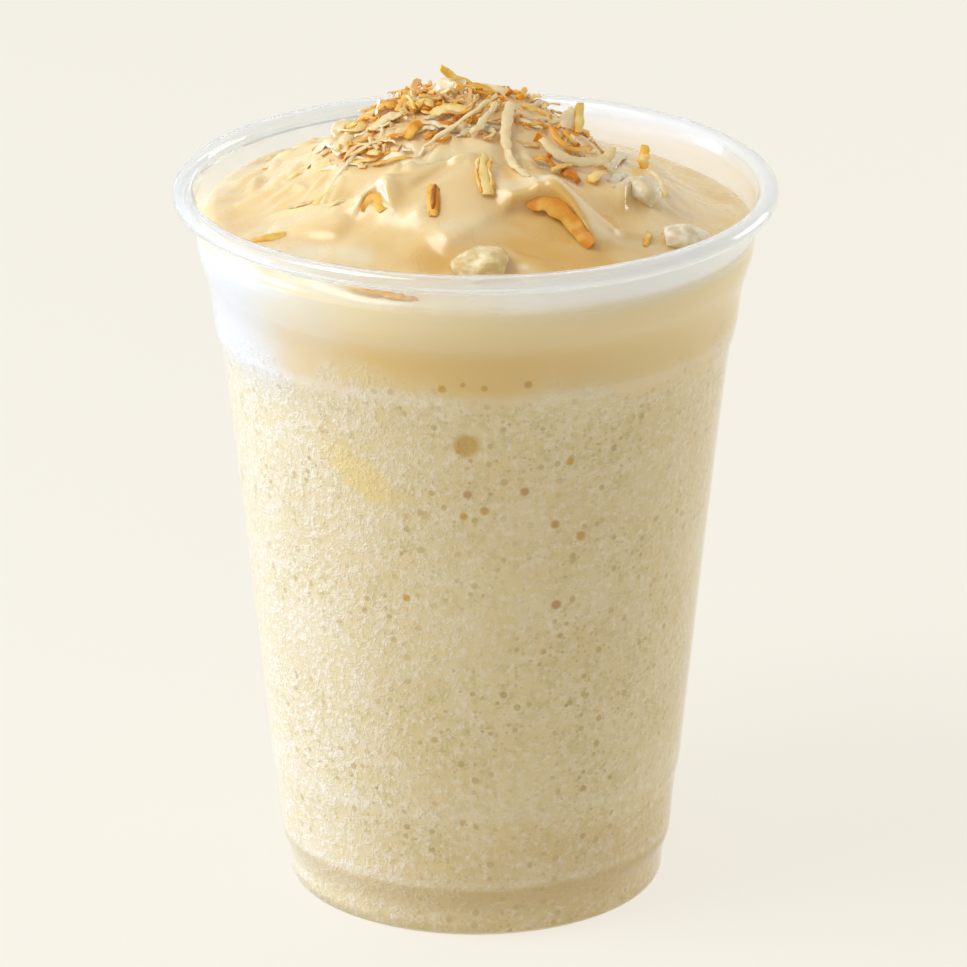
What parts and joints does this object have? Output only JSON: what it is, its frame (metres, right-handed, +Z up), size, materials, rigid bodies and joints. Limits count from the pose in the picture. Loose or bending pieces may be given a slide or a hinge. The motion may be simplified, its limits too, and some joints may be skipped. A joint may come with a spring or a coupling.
{
  "type": "pina colada",
  "caption": "Frozen pina colada in a clear plastic cup with a rolled rim, mounded over the top, heaped with toasted coconut shreds and dotted with ice.",
  "frame": {"origin": "centre of the cup's foot, on the surface that it stands on", "axes": "+Z up along the cup's axis, -Y towards the viewer, +X to the viewer's right"},
  "size_m": [0.098, 0.098, 0.1401],
  "materials": {
    "cup": "clear glossy plastic",
    "drink": "glossy wet top, bubbly slush at the side",
    "coconut": "dry, pale to toasted brown",
    "ice": "wet, cloudy"
  },
  "bodies": {
    "root": {"cup": "cup", "drink": "drink", "coconut_heap": "coconut", "ice_chunk_front": "ice", "ice_chunk_right": "ice", "ice_chunk_side": "ice", "ice_chunk_back": "ice"}
  },
  "joints": []
}
